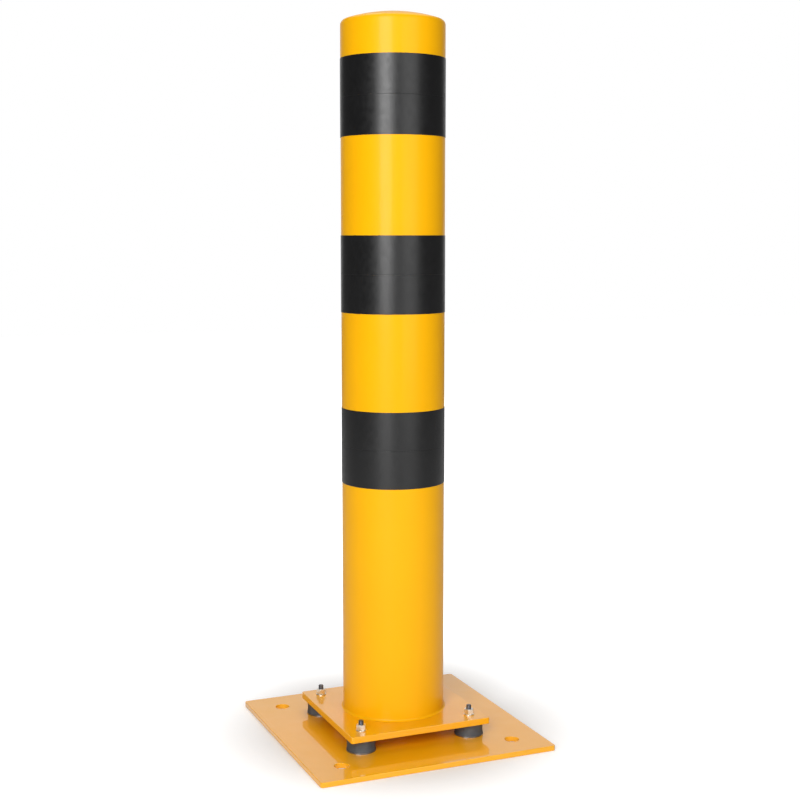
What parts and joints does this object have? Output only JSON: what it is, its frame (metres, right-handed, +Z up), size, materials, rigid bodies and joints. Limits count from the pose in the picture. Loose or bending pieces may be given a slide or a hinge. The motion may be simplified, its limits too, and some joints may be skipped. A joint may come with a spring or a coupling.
{
  "type": "impact bollard",
  "caption": "Capped round steel post with black bands, on a square foot plate carried by four rubber buffers over an anchored base plate.",
  "frame": {"origin": "centre of the base plate's underside, on the ground", "axes": "+Z up along the post; +X and +Y along the base plate's edges"},
  "size_m": [0.38, 0.38, 1.113],
  "materials": {
    "yellow_post": "gloss powder coat",
    "yellow_plate": "gloss powder coat",
    "black_film": "satin film",
    "buffer_rubber": "moulded",
    "dark_steel": "dark plated",
    "plain_steel": "plain",
    "zinc_steel": "bright zinc"
  },
  "bodies": {
    "base": {"base_plate": "yellow_plate", "base_screw_front_left": "zinc_steel", "base_screw_front_right": "zinc_steel", "base_screw_rear_left": "zinc_steel", "base_screw_rear_right": "zinc_steel", "buffer_base_front_left": "plain_steel", "buffer_base_front_right": "plain_steel", "buffer_base_rear_left": "plain_steel", "buffer_base_rear_right": "plain_steel"},
    "buffers": {"buffer_rubber_front_left": "buffer_rubber", "buffer_rubber_front_right": "buffer_rubber", "buffer_rubber_rear_left": "buffer_rubber", "buffer_rubber_rear_right": "buffer_rubber"},
    "post": {"foot_plate": "yellow_plate", "post_tube": "yellow_post", "foot_weld": "yellow_post", "top_cap": "yellow_post", "top_band_upper_strip": "black_film", "top_band_lower_strip": "black_film", "middle_band_upper_strip": "black_film", "middle_band_lower_strip": "black_film", "lower_band_upper_strip": "black_film", "lower_band_lower_strip": "black_film", "buffer_stud_front_left": "dark_steel", "buffer_stud_front_right": "dark_steel", "buffer_stud_rear_left": "dark_steel", "buffer_stud_rear_right": "dark_steel", "washer_front_left": "zinc_steel", "washer_front_right": "zinc_steel", "washer_rear_left": "zinc_steel", "washer_rear_right": "zinc_steel", "nut_front_left": "zinc_steel", "nut_front_right": "zinc_steel", "nut_rear_left": "zinc_steel", "nut_rear_right": "zinc_steel"}
  },
  "joints": [
    {"name": "lean_front_back", "type": "hinge", "parent": "base", "child": "buffers", "pos_m": [0, 0, 0.018], "axis": [1, 0, 0], "range_deg": [-3, 3], "stiffness_Nm_per_rad": 11300, "deforming": ["buffer_rubber_front_left", "buffer_rubber_front_right", "buffer_rubber_rear_left", "buffer_rubber_rear_right"]},
    {"name": "lean_side", "type": "hinge", "parent": "buffers", "child": "post", "pos_m": [0, 0, 0.018], "axis": [0, 1, 0], "range_deg": [-3, 3], "stiffness_Nm_per_rad": 11300, "deforming": ["buffer_rubber_front_left", "buffer_rubber_front_right", "buffer_rubber_rear_left", "buffer_rubber_rear_right"]}
  ]
}
